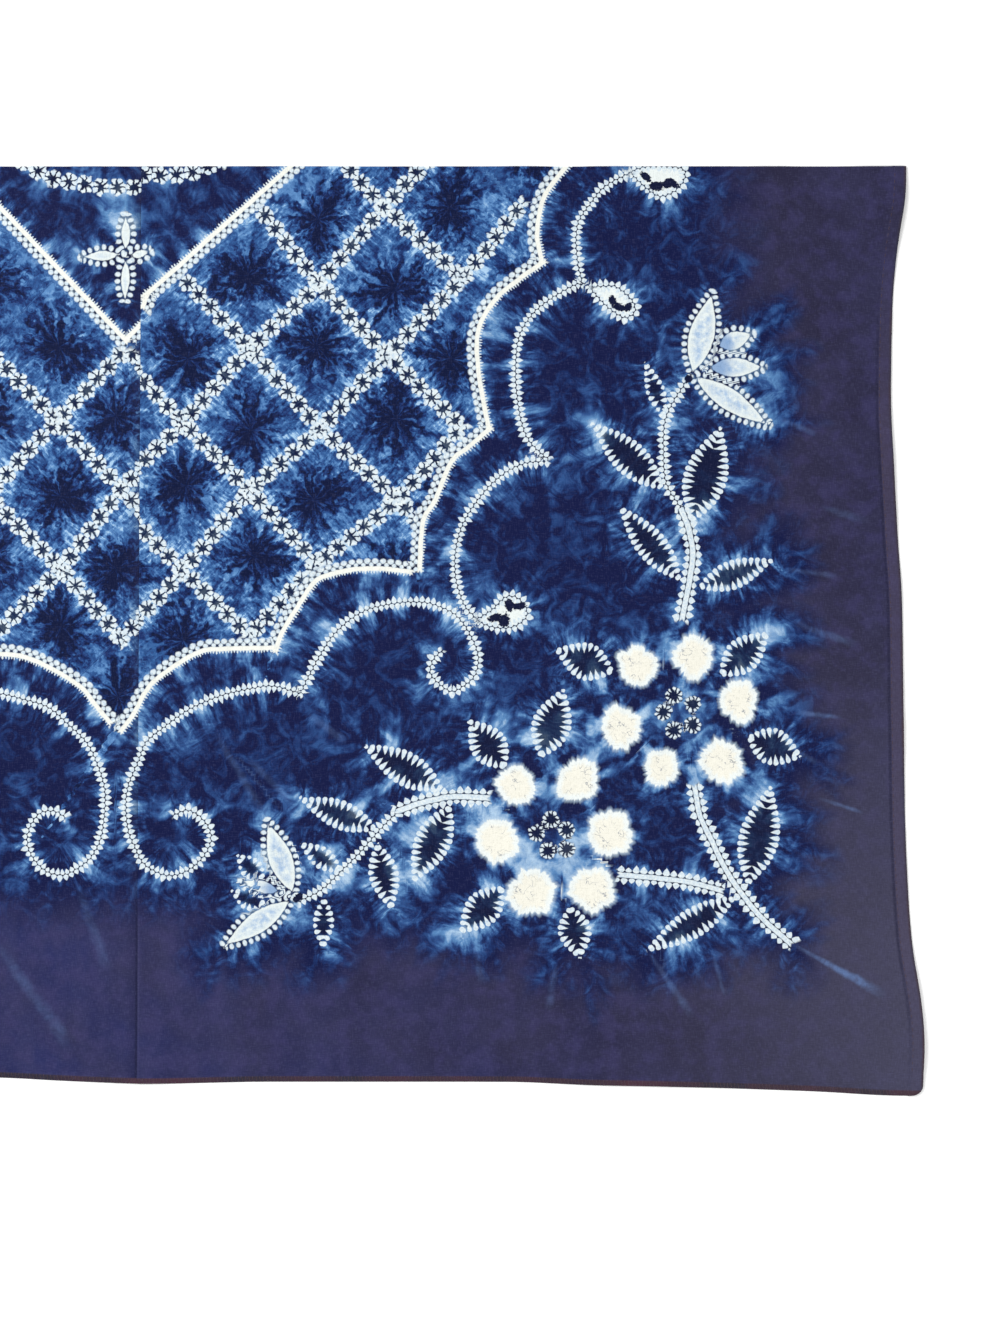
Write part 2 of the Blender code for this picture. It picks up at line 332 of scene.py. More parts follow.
def leaf_sides(tip, base, width):
    """The two sides of a leaf from base to tip, fullest a little nearer its base."""
    tip, base = np.array(tip, float), np.array(base, float)
    spine = tip - base
    across = np.array([-spine[1], spine[0]]) / np.hypot(*spine)
    t = np.linspace(0, 1, 9)
    half = width / 2 * np.sin(np.pi * t ** 0.9)
    line = base + spine * t[:, None]
    return line + across * half[:, None], line - across * half[:, None]


class Marks:
    """Samples along a set of stitched lines, each with its sheet and two numbers of its own."""
    GAP_CLOSED = 14
    PAST_END = 3

    def __init__(self):
        self.places, self.ways, self.counts, self.extras = [], [], [], []
        self.left, self.right = [], []

    def add(self, sheet, points, stitch, extra=(0, 0)):
        """Adds a line. Its count carries on from the line before, if it starts where that ends."""
        places, way, run = trace(points)
        joined = self.places and np.hypot(*(self.places[-1][-1] - places[0])) < self.GAP_CLOSED
        start = self.counts[-1][-1] if joined else 0
        self.places.append(places)
        self.ways.append(way)
        self.counts.append(start + run / stitch)
        constant = np.tile((stitch, *extra), (len(run), 1))
        self.extras.append(np.column_stack([constant, run / run[-1]]))
        self.left.append(np.full(len(run), sheet != RIGHT))
        self.right.append(np.full(len(run), sheet != LEFT))

    def read(self, x, y, on_left):
        """For each place: stitches along the nearest line, mm to its left, mm away, and its extras."""
        places, ways = np.vstack(self.places), np.vstack(self.ways)
        counts, extras = np.concatenate(self.counts), np.vstack(self.extras)
        nearest = np.empty(len(x), int)
        for here, there in ((on_left, np.concatenate(self.left)), (~on_left, np.concatenate(self.right))):
            samples = KDTree(int(there.sum()))
            for i in np.flatnonzero(there):
                samples.insert((*places[i], 0), int(i))
            samples.balance()
            for k in np.flatnonzero(here):
                nearest[k] = samples.find((x[k], y[k], 0))[1]
        off = np.column_stack([x, y]) - places[nearest]
        along = (off * ways[nearest]).sum(1)
        to_left = ways[nearest, 0] * off[:, 1] - ways[nearest, 1] * off[:, 0]
        away = np.hypot(off[:, 0], off[:, 1])
        beyond = np.clip(along, -self.PAST_END, self.PAST_END)
        return counts[nearest] + beyond / extras[nearest, 0], to_left, away, extras[nearest]


bands, scrolls, stars_down, stars_up, leaves = Marks(), Marks(), Marks(), Marks(), Marks()
for sheet, points in BANDS:
    bands.add(sheet, points, BAND_STITCH)
for sheet, stitch, core, points in SCROLLS:
    scrolls.add(sheet, points, stitch, (core, 0))
for sheet, points in STARS_DOWN:
    stars_down.add(sheet, points, STAR_STEP)
for sheet, points in STARS_UP:
    stars_up.add(sheet, points, STAR_STEP)
for outline in RINGS:
    scrolls.add(RIGHT, outline, RING_STITCH)
for tip, base, width, teeth in LEAVES:
    for inward, outline in zip((-1, 1), leaf_sides(tip, base, width)):
        sheet = LEFT if tip[0] < -310 else BOTH
        leaves.add(sheet, outline, LEAF_STITCH, (teeth, inward))

x, y = plan_x.ravel(), plan_y.ravel()
left_sheet = on_left.ravel()
band_n, band_d, band_away, _ = bands.read(x, y, left_sheet)
scroll_n, scroll_d, scroll_away, scroll_extra = scrolls.read(x, y, left_sheet)
down_n, down_d, down_away, _ = stars_down.read(x, y, left_sheet)
up_n, up_d, up_away, _ = stars_up.read(x, y, left_sheet)
leaf_n, leaf_d, leaf_away, leaf_extra = leaves.read(x, y, left_sheet)
leaf_in = np.where((leaf_d * leaf_extra[:, 2] > 0) & (leaf_away - abs(leaf_d) < 1), leaf_away, -leaf_away)

ring_in = np.full(len(x), -20.0)
for outline in RINGS:
    places, way, _ = trace(outline)
    box = (abs(x - places[:, 0].mean()) < 60) & (abs(y - places[:, 1].mean()) < 60) & ~left_sheet
    off = np.column_stack([x, y])[box][:, None] - places[None]
    reach = np.hypot(off[..., 0], off[..., 1])
    turned = np.arctan2(off[..., 1], off[..., 0])
    winding = abs(((np.diff(turned, axis=1) + np.pi) % (2 * np.pi) - np.pi).sum(1))
    ring_in[box] = np.maximum(ring_in[box], np.where(winding > np.pi, 1, -1) * reach.min(1))

petal_xy = np.zeros((len(x), 3))
petal_near = np.full(len(x), np.inf)
for i, (px, py, half_wide, half_long) in enumerate(PETALS):
    heart = FLOWERS[i // PETALS_EACH]
    out = np.array([px - heart[0], py - heart[1]], float)
    out /= np.hypot(*out)
    a = ((x - px) * out[0] + (y - py) * out[1]) / half_long
    b = (-(x - px) * out[1] + (y - py) * out[0]) / half_wide
    near = np.hypot(a, b) < petal_near
    petal_near[near] = np.hypot(a, b)[near]
    petal_xy[near] = np.column_stack([a, b, np.full(len(x), float(i))])[near]

eye_xy = np.zeros((len(x), 3))
eye_near = np.full(len(x), np.inf)
for i, (ex, ey) in enumerate(EYES):
    away = np.hypot(x - ex, y - ey)
    near = away < eye_near
    eye_near[near] = away[near]
    eye_xy[near] = np.column_stack([x - ex, y - ey, np.full(len(x), i * 0.37)])[near]

# The lattice's cells. Each has a dark heart, so each point knows how it lies from its cell's middle.
CELL_AT, CELL_RIGHT_DOWN, CELL_RIGHT_UP = (-193, 200), (66, -68), (66, 67)
HIDDEN_IN_TUCK = 9
cell_x, cell_y = x - CELL_AT[0] - HIDDEN_IN_TUCK * left_sheet, y - CELL_AT[1]
area = CELL_RIGHT_DOWN[0] * CELL_RIGHT_UP[1] - CELL_RIGHT_DOWN[1] * CELL_RIGHT_UP[0]
down_steps = np.round((cell_x * CELL_RIGHT_UP[1] - cell_y * CELL_RIGHT_UP[0]) / area)
up_steps = np.round((cell_y * CELL_RIGHT_DOWN[0] - cell_x * CELL_RIGHT_DOWN[1]) / area)
cell_x = cell_x - down_steps * CELL_RIGHT_DOWN[0] - up_steps * CELL_RIGHT_UP[0]
cell_y = cell_y - down_steps * CELL_RIGHT_DOWN[1] - up_steps * CELL_RIGHT_UP[1]

# No two hearts are alike: each is turned, moved off its cell's middle, and a little longer than wide.
cell_turn = down_steps * 2.3 + up_steps * 4.1
HEART_OFF = 7
cell_x, cell_y = cell_x + HEART_OFF * np.sin(cell_turn * 3.7), cell_y + HEART_OFF * np.cos(cell_turn * 5.3)
cell_reach = np.hypot(
    (cell_x * np.cos(cell_turn) + cell_y * np.sin(cell_turn)) * 1.25,
    (cell_y * np.cos(cell_turn) - cell_x * np.sin(cell_turn)) * 0.85)

blot = np.full(len(x), -1.0)
for bx, by, half_long, half_wide, turn in BLOTS:
    c, s = np.cos(np.radians(turn)), np.sin(np.radians(turn))
    a = ((x - bx) * c + (y - by) * s) / half_long
    b = (-(x - bx) * s + (y - by) * c) / half_wide
    blot = np.maximum(blot, 1 - np.hypot(a, b))

fold_along, fold_across, fold_strength = np.full(len(x), -1.0), np.full(len(x), 9.0), np.zeros(len(x))
for x0, y0, x1, y1, start, end, strength in PALE_FOLDS:
    spine = np.array([x1 - x0, y1 - y0], float)
    size = np.hypot(*spine)
    along = ((x - x0) * spine[0] + (y - y0) * spine[1]) / size ** 2
    across = (-(x - x0) * spine[1] + (y - y0) * spine[0]) / size
    across = across / (start + (end - start) * np.clip(along, 0, 1))
    off_this = np.maximum(abs(across), 2 * abs(along - 0.5))
    near = off_this < np.maximum(abs(fold_across), 2 * abs(fold_along - 0.5))
    fold_along[near], fold_across[near] = along[near], across[near]
    fold_strength[near] = (strength * (abs(across) < 3.5) * (abs(along - 0.5) < 0.75))[near]

# The lattice stops at the band: inside is how far within it a point lies, which is on the band's
# left. The ground over the V's arms is outside it, though it is on their left too. The arc of stars
# there isn't part of the lattice, so it isn't cut off.
inside = np.where(band_d > 0, band_away, -band_away)
above_v = (y > 279 + (x + 313) * -1.06) & (x < -305) | (y > 323 + (x + 293) * 0.89) & (x >= -305)
inside = np.where(above_v & (inside > 0) & (x < -120), -band_away, inside)
starred = np.where((y > 405) & (x < -185) & (inside < 0), 1, np.clip((inside - 7) / 3, 0, 1))

# How the dye ran. It creeps into gathered cloth along the pleats, which stand square to each
# stitched line, so random grain is drawn out into streaks that run straight off the nearest line.
GRAIN_STEP = 2.5
STREAK_SEED = 7
rng = np.random.default_rng(STREAK_SEED)
grain_x = np.arange(LEFT_CUT - 20, RIGHT_FOLD + 20, GRAIN_STEP)
grain_y = np.arange(BOTTOM_FOLD - 20, TOP_CUT + 20, GRAIN_STEP)


def at_grain(field, gx, gy):
    """The field's value between its grid points."""
    i = np.clip(gx, 0, field.shape[1] - 1.001)
    j = np.clip(gy, 0, field.shape[0] - 1.001)
    i0, j0 = i.astype(int), j.astype(int)
    fi, fj = i - i0, j - j0
    top = field[j0, i0] * (1 - fi) + field[j0, i0 + 1] * fi
    low = field[j0 + 1, i0] * (1 - fi) + field[j0 + 1, i0 + 1] * fi
    return top * (1 - fj) + low * fj


def soften(field, times):
    """The field, evened out with its neighbours, again and again."""
    for _ in range(times):
        for axis in (0, 1):
            ends = [(1, 1) if a == axis else (0, 0) for a in (0, 1)]
            wide = np.pad(field, ends, mode="edge")
            cut = [slice(None)] * 2
            parts = []
            for shift in (0, 1, 2):
                cut[axis] = slice(shift, wide.shape[axis] - 2 + shift)
                parts.append(wide[tuple(cut)])
            field = (parts[0] + 2 * parts[1] + parts[2]) / 4
    return field


PETAL_ROUND = 20
line_places = [np.vstack(m.places)[::2] for m in (bands, scrolls, stars_down, stars_up, leaves)]
petal_places = [
    np.array([(px + PETAL_ROUND * np.cos(a), py + PETAL_ROUND * np.sin(a)) for a in np.linspace(0, 6.2, 40)])
    for px, py, _, _ in PETALS]
gathered = np.vstack(line_places + petal_places + [np.array(EYES, float)])
gathered = gathered[(gathered[:, 0] > LEFT_CUT - 30) & (gathered[:, 1] < TOP_CUT + 30)]
gathers_at = KDTree(len(gathered))
for i, (ax, ay) in enumerate(gathered):
    gathers_at.insert((ax, ay, 0), i)
gathers_at.balance()
away = np.array([[gathers_at.find((gx, gy, 0))[2] for gx in grain_x] for gy in grain_y])
slope_y, slope_x = np.gradient(soften(away, 6))
slope = np.hypot(slope_x, slope_y) + 1e-6
slope_x, slope_y = slope_x / slope, slope_y / slope


def streaks(grain, reach):
    """The grain drawn out along the slope, reach steps each way, spread evenly about 0."""
    gx0, gy0 = np.meshgrid(np.arange(grain.shape[1], dtype=float), np.arange(grain.shape[0], dtype=float))
    total, count = grain.copy(), 1
    for way in (1, -1):
        gx, gy = gx0.copy(), gy0.copy()
        for _ in range(reach):
            dx, dy = at_grain(slope_x, gx, gy), at_grain(slope_y, gx, gy)
            gx, gy = gx + way * dx, gy + way * dy
            total += at_grain(grain, gx, gy)
            count += 1
    total /= count
    return (total - total.mean()) / total.std()


fine = streaks(rng.standard_normal(away.shape), 7)
broad = streaks(soften(rng.standard_normal(away.shape), 4), 12)
clouds = soften(rng.standard_normal(away.shape), 60)
clouds = (clouds - clouds.mean()) / clouds.std()

gx, gy = (x - grain_x[0]) / GRAIN_STEP, (y - grain_y[0]) / GRAIN_STEP
off = at_grain(away, gx, gy)
fine_here, broad_here, cloud_here = at_grain(fine, gx, gy), at_grain(broad, gx, gy), at_grain(clouds, gx, gy)
run = 0.55 * fine_here + 0.85 * broad_here
light = 0.05 + 0.16 * np.exp(-np.maximum(off - 5, 0) / 14) * (1 + run)
light = light + 0.26 * np.maximum(run, -0.3) * np.exp(-off / 32)
for heart_x, heart_y in FLOWERS:
    from_heart = np.hypot(x - heart_x, y - heart_y) / FLOWER_RADIUS
    light += 0.10 * np.clip(1.5 - from_heart, 0, 1) * (1 + 0.8 * broad_here)
light = np.clip(light, 0, 1)

# The border took the dye evenly: right of one line and below another, which is higher at the left.
PLAIN_RIGHT_OF, PLAIN_BELOW, HIGHER_AT_LEFT = 230, 262, 22
plain_below = PLAIN_BELOW - HIGHER_AT_LEFT * np.clip((-x - 180) / 80, 0, 1)
outside = np.clip(np.maximum((x - PLAIN_RIGHT_OF) / 80, (-y - plain_below) / 50), 0, 1)
plain = np.clip((off - 17 + 5 * cloud_here - 8 * broad_here) / 36, 0, 1) * outside
tint = np.clip((x + 420) / 640 + 0.10 * cloud_here, 0, 1)
# Painted sheen: the border is painted paler and greyer towards the near right corner, where the cloth's sheen
# shows.
painted_corner_sheen = np.clip((x - 180) / 260, 0, 1) * np.clip((40 - y) / 330, 0, 1)

# The mesh. The lifts of the hems and corner are the solid's own, evened out between its corners.
underside = BVHTree.FromObject(solid, bpy.context.evaluated_depsgraph_get())
lift = np.zeros(plan_x.shape)
for r in range(plan_x.shape[0]):
    for c in range(plan_x.shape[1]):
        hit = underside.ray_cast(Vector((plan_x[r, c] * MM, plan_y[r, c] * MM, -1)), Vector((0, 0, 1)))[0]
        lift[r, c] = MM_IN_METRE * hit.z if hit else lift[r, c - 1]
lift = soften(lift, 24)
GATHERED_REACH = 14
near_stitch = np.exp(-(off / GATHERED_REACH) ** 2).reshape(plan_x.shape)
pucker = (0.20 * fine_here + 0.22 * broad_here).reshape(plan_x.shape) * (0.15 + near_stitch)
sway = 0.35 * (1 + cloud_here).reshape(plan_x.shape)
above_hem = (row_in > BOTTOM_HEM[0][0] - 0.5)[:, None]
z = height + lift + (0.25 + np.clip(pucker, -0.3, 0.7) + np.clip(sway, 0, 1)) * above_hem

rows, columns = plan_x.shape
mesh = bpy.data.meshes.new("dyed_cloth")
mesh.vertices.add(rows * columns)
mesh.vertices.foreach_set("co", (np.column_stack([x, y, z.ravel()]) * MM).ravel())
first = (np.arange(rows - 1)[:, None] * columns + np.arange(columns - 1)).ravel()
quads = np.column_stack([first, first + 1, first + columns + 1, first + columns])
mesh.loops.add(quads.size)
mesh.loops.foreach_set("vertex_index", quads.ravel())
mesh.polygons.add(len(quads))
mesh.polygons.foreach_set("loop_start", np.arange(len(quads)) * 4)
mesh.update(calc_edges=True)
mesh.validate()
mesh.shade_smooth()
cloth = bpy.data.objects.new("dyed_cloth", mesh)
bpy.context.scene.collection.objects.link(cloth)

# Its flat pattern: how far each point lies from the left cut and the bottom raw edge, along the cloth.
flat_x, flat_y = np.zeros(z.shape), np.zeros(z.shape)
flat_x[:, 1:] = np.cumsum(np.hypot(np.diff(plan_x, axis=1), np.diff(z, axis=1)), axis=1)
flat_y[1:] = np.cumsum(np.hypot(np.diff(plan_y, axis=0), np.diff(z, axis=0)), axis=0)
uv = mesh.uv_layers.new(name="OFBake")
u, v = flat_x.ravel() / flat_x.max(), flat_y.ravel() / flat_y.max()
uv.uv.foreach_set("vector", np.column_stack([u, v])[quads.ravel()].ravel())


def dye_field(name, *parts):
    """Stores one, two or three numbers at each point of the cloth for its material to read."""
    parts = [np.asarray(p, float).ravel() for p in parts]
    while len(parts) < 3:
        parts.append(np.zeros(len(x)))
    field = mesh.attributes.new(name, "FLOAT_VECTOR", "POINT")
    field.data.foreach_set("vector", np.column_stack(parts).ravel())


dye_field("band", band_n, band_d, band_away)
dye_field("scroll", scroll_n, scroll_d, scroll_away)
dye_field("stem", scroll_extra[:, 1], scroll_extra[:, 0])
dye_field("star_down", down_n, down_d, down_away)
dye_field("star_up", up_n, up_d, up_away)
dye_field("leaf", leaf_n, leaf_in, leaf_away)
dye_field("petal", *petal_xy.T)
dye_field("eye", *eye_xy.T)
dye_field("near", petal_near, eye_near, leaf_extra[:, 1])
dye_field("dye", light, plain, cell_reach)
dye_field("spot", blot, inside, off)
dye_field("cell", cell_x, cell_y, cell_turn)
dye_field("wrap", ring_in, leaf_extra[:, 3], tint)
dye_field("pale_fold", fold_along, fold_across, fold_strength)
dye_field("edge", side_x[:, None] - plan_x, plan_y - foot, plan_x - tuck_x[:, None])
dye_field("flat", flat_x, flat_y, starred)
dye_field("painted_corner_sheen", painted_corner_sheen)


# How its material is put together, one node at a time.
def srgb(hex_code):
    """An sRGB hex colour, turned to the linear values that the shader mixes."""
    parts = [int(hex_code[i:i + 2], 16) / 255 for i in (1, 3, 5)]
    return (*(p / 12.92 if p <= 0.04045 else ((p + 0.055) / 1.055) ** 2.4 for p in parts), 1.0)


def add(tree, kind, *values, out=None, **settings):
    """One node, such as "Math SINE". Each value goes to its next input: a number, or a node's output."""
    kind, _, operation = kind.partition(" ")
    node = tree.nodes.new("ShaderNode" + kind)
    if operation:
        node.operation = operation
    for name, value in settings.items():
        setattr(node, name, value)
    for socket, value in zip([s for s in node.inputs if s.enabled], values):
        if isinstance(value, bpy.types.NodeSocket):
            tree.links.new(value, socket)
        elif value is not None:
            socket.default_value = value
    return node.outputs[out] if out else [s for s in node.outputs if s.enabled][0]


def group(name, inputs, outputs):
    """An empty node group, with its inputs' and outputs' sockets."""
    tree = bpy.data.node_groups.new(name, "ShaderNodeTree")
    for label, kind in inputs.items():
        tree.interface.new_socket(label, in_out="INPUT", socket_type="NodeSocket" + kind)
    for label in outputs:
        tree.interface.new_socket(label, in_out="OUTPUT", socket_type="NodeSocketFloat")
    return tree, tree.nodes.new("NodeGroupInput").outputs, tree.nodes.new("NodeGroupOutput").inputs


def soft_step(tree, value, start, end):
    """1 below start and 0 above end, with a smooth change between them."""
    return add(tree, "MapRange", value, start, end, 1.0, 0.0, interpolation_type="SMOOTHSTEP")


# Stitch marks, one in every stitch of the count. A dot is an oval of half_size along and across.
dot, given, result = group(
    "stitch_dot", {"count": "Float", "across": "Float", "stitch": "Float", "half_size": "Vector"}, ["white"])
part = add(dot, "Math SUBTRACT", add(dot, "Math FRACT", given["count"]), 0.5)
oval = add(dot, "CombineXYZ", add(dot, "Math MULTIPLY", part, given["stitch"]), given["across"], 0.0)
oval = add(dot, "VectorMath LENGTH", add(dot, "VectorMath DIVIDE", oval, given["half_size"]))
dot.links.new(soft_step(dot, oval, 0.7, 1.3), result["white"])

# A tooth starts at its root, where out is 0, and narrows to a tip. No two are quite as long.
tooth, given, result = group(
    "stitch_tooth",
    {"count": "Float", "out": "Float", "stitch": "Float", "half_width": "Float", "length": "Float"},
    ["white"])
part = add(tooth, "Math SUBTRACT", add(tooth, "Math FRACT", given["count"]), 0.5)
along = add(tooth, "Math MULTIPLY", add(tooth, "Math ABSOLUTE", part), given["stitch"])
chance = add(tooth, "TexWhiteNoise", add(tooth, "Math FLOOR", given["count"]), noise_dimensions="1D")
length = add(tooth, "Math MULTIPLY", add(tooth, "Math MULTIPLY_ADD", chance, 0.55, 0.70), given["length"])
taper = add(tooth, "Math DIVIDE", add(tooth, "Math MAXIMUM", given["out"], 0.0), length)
taper = add(tooth, "Math SUBTRACT", 1.0, add(tooth, "Math POWER", taper, 2.2))
blunt = add(tooth, "Math MULTIPLY", add(tooth, "Math MAXIMUM", given["out"], 0.0), 0.5)
blunt = add(tooth, "Math POWER", blunt, 0.5)
taper = add(tooth, "Math MULTIPLY", taper, add(tooth, "Math MINIMUM", blunt, 1.0))
narrow = add(tooth, "Math SUBTRACT", along, add(tooth, "Math MULTIPLY", taper, given["half_width"]))
root = soft_step(tooth, add(tooth, "Math MULTIPLY", given["out"], -1.0), -0.6, 0.1)
tooth.links.new(add(tooth, "Math MULTIPLY", soft_step(tooth, narrow, -0.5, 0.3), root), result["white"])

# One tied star: a dark middle, and dark rays that part its white petals. width is a ray's half
# width, as a share of the radius.
STAR_RAYS, EYE_RAYS = 7, 10
STAR_RADIUS, EYE_RADIUS = 8.7, 8.2
star, given, result = group(
    "tied_star", {"place": "Vector", "turn": "Float", "radius": "Float", "width": "Float", "rays": "Float"},
    ["petals", "reach"])
place = add(star, "SeparateXYZ", given["place"], out="X")
angle = add(star, "Math ADD", add(star, "Math ARCTAN2", place.node.outputs["Y"], place), given["turn"])
half_rays = add(star, "Math MULTIPLY", given["rays"], 0.5)
wave = add(star, "Math ABSOLUTE", add(star, "Math SINE", add(star, "Math MULTIPLY", angle, half_rays)))
reach = add(star, "VectorMath LENGTH", add(star, "VectorMath MULTIPLY", given["place"], (1.0, 1.0, 0.0)))
reach = add(star, "Math DIVIDE", reach, given["radius"])
from_ray = add(star, "Math DIVIDE", add(star, "Math MULTIPLY", reach, wave), half_rays)
taper = add(star, "Math MULTIPLY", given["width"], add(star, "Math MULTIPLY_ADD", reach, -0.75, 1.5))
from_ray = add(star, "Math SUBTRACT", taper, from_ray)
petals = soft_step(star, from_ray, -0.035, 0.035)
outline = add(star, "Math DIVIDE", reach, add(star, "Math MULTIPLY_ADD", wave, 0.20, 0.82))
outline = soft_step(star, outline, 0.90, 1.08)
star.links.new(add(star, "Math MULTIPLY", petals, outline), result["petals"])
star.links.new(reach, result["reach"])

# Indigo-dyed plain-weave cotton, hand dyed: matt and slightly fuzzy, deep navy where the dye ran
# free, white where stitches gathered it, with pale streaks where the dye crept along the pleats.
cotton = bpy.data.materials.new("indigo_dyed_plain_weave_cotton")
cotton.use_nodes = True
tree = cotton.node_tree
tree.nodes.clear()

# Textures lie on the cloth's flat pattern, which is in mm: a scale of 0.1 draws grains 10 mm apart.
flat_at = add(tree, "Attribute", attribute_name="flat", out="Vector")

# Hand stitching wanders: counts and distances shift a little from place to place, and the stars'
# places by more.
wander = add(tree, "TexNoise", flat_at, 0.10, 2.0, 0.5, out="Color")
wander = add(tree, "VectorMath SUBTRACT", wander, (0.5, 0.5, 0.5))
rough_edge = add(tree, "TexNoise", flat_at, 0.45, 2.0, 0.6, out="Color")
rough_edge = add(tree, "VectorMath SUBTRACT", rough_edge, (0.5, 0.5, 0.5))
uneven = add(tree, "TexNoise", flat_at, 0.22, 1.0, 0.5, out="Color")
uneven = add(tree, "VectorMath SUBTRACT", uneven, (0.5, 0.5, 0.5))


def stored(name):
    """The numbers that the cloth stores under a name, as X, Y and Z."""
    numbers = add(tree, "Attribute", attribute_name=name, out="Vector")
    return add(tree, "SeparateXYZ", numbers, out="X").node.outputs


def stitched(name, count_shift, across_shift):
    """A set of lines: the stitch count, mm across and mm away, the first two a little unsteady."""
    line = add(tree, "Attribute", attribute_name=name, out="Vector")
    line = add(tree, "VectorMath MULTIPLY_ADD", wander, (count_shift, across_shift, 0.0), line)
    line = add(tree, "VectorMath MULTIPLY_ADD", rough_edge, (count_shift / 2, across_shift, 0.0), line)
    return add(tree, "SeparateXYZ", line, out="X").node.outputs


def grouped(node_tree, *values):
    """A node group's outputs, with its inputs set in turn."""
    return add(tree, "Group", *values, node_tree=node_tree).node.outputs


def dots_at(line, across, stitch, half_along, half_across):
    """A row of dots, one in every stitch of the line, where across is 0."""
    return grouped(dot, line["X"], across, stitch, (half_along, half_across, 1.0))[0]


def pleats(line, per_mm, seed):
    """Random streaks square to a line, from -1 to 1, which fade out away from it."""
    along = add(tree, "Math MULTIPLY", line["X"], per_mm)
    place = add(tree, "CombineXYZ", along, add(tree, "Math MULTIPLY", line["Z"], 0.055), seed)
    noise = add(tree, "TexNoise", place, 1.0, 3.0, 0.62)
    noise = add(tree, "MapRange", noise, 0.36, 0.64, -1.0, 1.0)
    return add(tree, "Math MULTIPLY", noise, add(tree, "Math POWER", 0.935, line["Z"]))


def either(first, *others):
    """The strongest of several masks."""
    for other in others:
        first = add(tree, "Math MAXIMUM", first, other)
    return first


def both(first, *others):
    """Where all of several masks hold, each as far as it does."""
    for other in others:
        first = add(tree, "Math MULTIPLY", first, other)
    return first


def off_line(value, place):
    """How far a value is from the one that marks a line's middle."""
    return add(tree, "Math ABSOLUTE", add(tree, "Math SUBTRACT", value, place))


def without(mask, cut):
    """The mask, where the cut doesn't hold."""
    return both(mask, add(tree, "Math SUBTRACT", 1.0, cut))


def beside(line, start, end):
    """1 along the line's length, and 0 from a little past its ends."""
    past = add(tree, "Math SUBTRACT", line["Z"], add(tree, "Math ABSOLUTE", line["Y"]))
    return soft_step(tree, past, start, end)


# The bands: a plain white line with knobs along it, and a row of beads over the gaps between them.
band = stitched("band", 0.30, 1.3)
band_end = beside(band, 1.5, 3.5)
solid_line = soft_step(tree, add(tree, "Math ABSOLUTE", band["Y"]), 1.5, 2.7)
KNOB_AT, BEAD_AT, INKED_AT = 3.7, 7.2, 4.6
BRISTLES_EACH = 2.5             # on its other side, in each stitch
half_on = {"X": add(tree, "Math ADD", band["X"], 0.5)}
knobs = dots_at(half_on, add(tree, "Math SUBTRACT", band["Y"], KNOB_AT), BAND_STITCH, 2.1, 2.0)
beads = dots_at(band, add(tree, "Math SUBTRACT", band["Y"], BEAD_AT), BAND_STITCH, 2.9, 2.5)
bristle_root = add(tree, "Math SUBTRACT", -1.4, band["Y"])
bristle_count = add(tree, "Math MULTIPLY", band["X"], BRISTLES_EACH)
bristles = grouped(tooth, bristle_count, bristle_root, BAND_STITCH / BRISTLES_EACH, 1.2, 3.4)[0]
band_white = both(either(solid_line, knobs, beads, bristles), band_end)
band_ink = both(soft_step(tree, off_line(band["Y"], INKED_AT), 2.4, 4.6), band_end)

# The scrolls and stems: teeth each side of a seam, or of a plain white core.
scroll = stitched("scroll", 0.25, 1.0)
scroll_end = beside(scroll, 1.0, 3.0)
stem = stored("stem")
core, stitch = stem["X"], stem["Y"]
side = add(tree, "Math ABSOLUTE", scroll["Y"])
root = add(tree, "Math SUBTRACT", side, add(tree, "Math MULTIPLY_ADD", core, 1.15, -0.15))
half = add(tree, "Math MULTIPLY", stitch, 0.52)
staggered = add(tree, "Math MULTIPLY_ADD", add(tree, "Math GREATER_THAN", scroll["Y"], 0.0), 0.5, scroll["X"])
SCROLL_TOOTH = 6.4
scroll_teeth = grouped(tooth, staggered, root, stitch, half, SCROLL_TOOTH)[0]
scroll_core = soft_step(tree, add(tree, "Math SUBTRACT", side, core), -0.5, 0.4)
scroll_core = both(scroll_core, add(tree, "Math GREATER_THAN", core, 1.0))
scroll_white = both(either(scroll_teeth, scroll_core), scroll_end)
scroll_ink = both(soft_step(tree, root, 1.5, 4.0), scroll_end)

# The lattice: a tied star at every stitch, on both sets of lines, each on its own dark ground. The
# plain bands cut the lines off.
spot = stored("spot")
inside, off = spot["Y"], spot["Z"]
starred = add(tree, "SeparateXYZ", flat_at, out="Z")
lattice_white, lattice_ink, lattice_pleats = [], [], []
for seed, name in enumerate(("star_down", "star_up")):
    line = stitched(name, 0.10, 1.6)
    part = add(tree, "Math SUBTRACT", add(tree, "Math FRACT", line["X"]), 0.5)
    place = add(tree, "CombineXYZ", add(tree, "Math MULTIPLY", part, STAR_STEP), line["Y"], 0.0)
    place = add(tree, "VectorMath MULTIPLY_ADD", uneven, (5.0, 5.0, 0.0), place)
    star_turn = add(tree, "Math MULTIPLY", add(tree, "Math FLOOR", line["X"]), 1.7)
    petals, reach = grouped(star, place, star_turn, STAR_RADIUS, 0.09, STAR_RAYS)
    ends = both(beside(line, 2.5, 4.5), starred)
    lattice_white.append(both(petals, ends))
    lattice_ink.append(both(soft_step(tree, reach, 0.75, 1.0), ends))
    lattice_pleats.append(pleats(line, STAR_STEP * 0.30, seed))
lattice_ink = either(*lattice_ink)
lattice_white = either(*lattice_white)

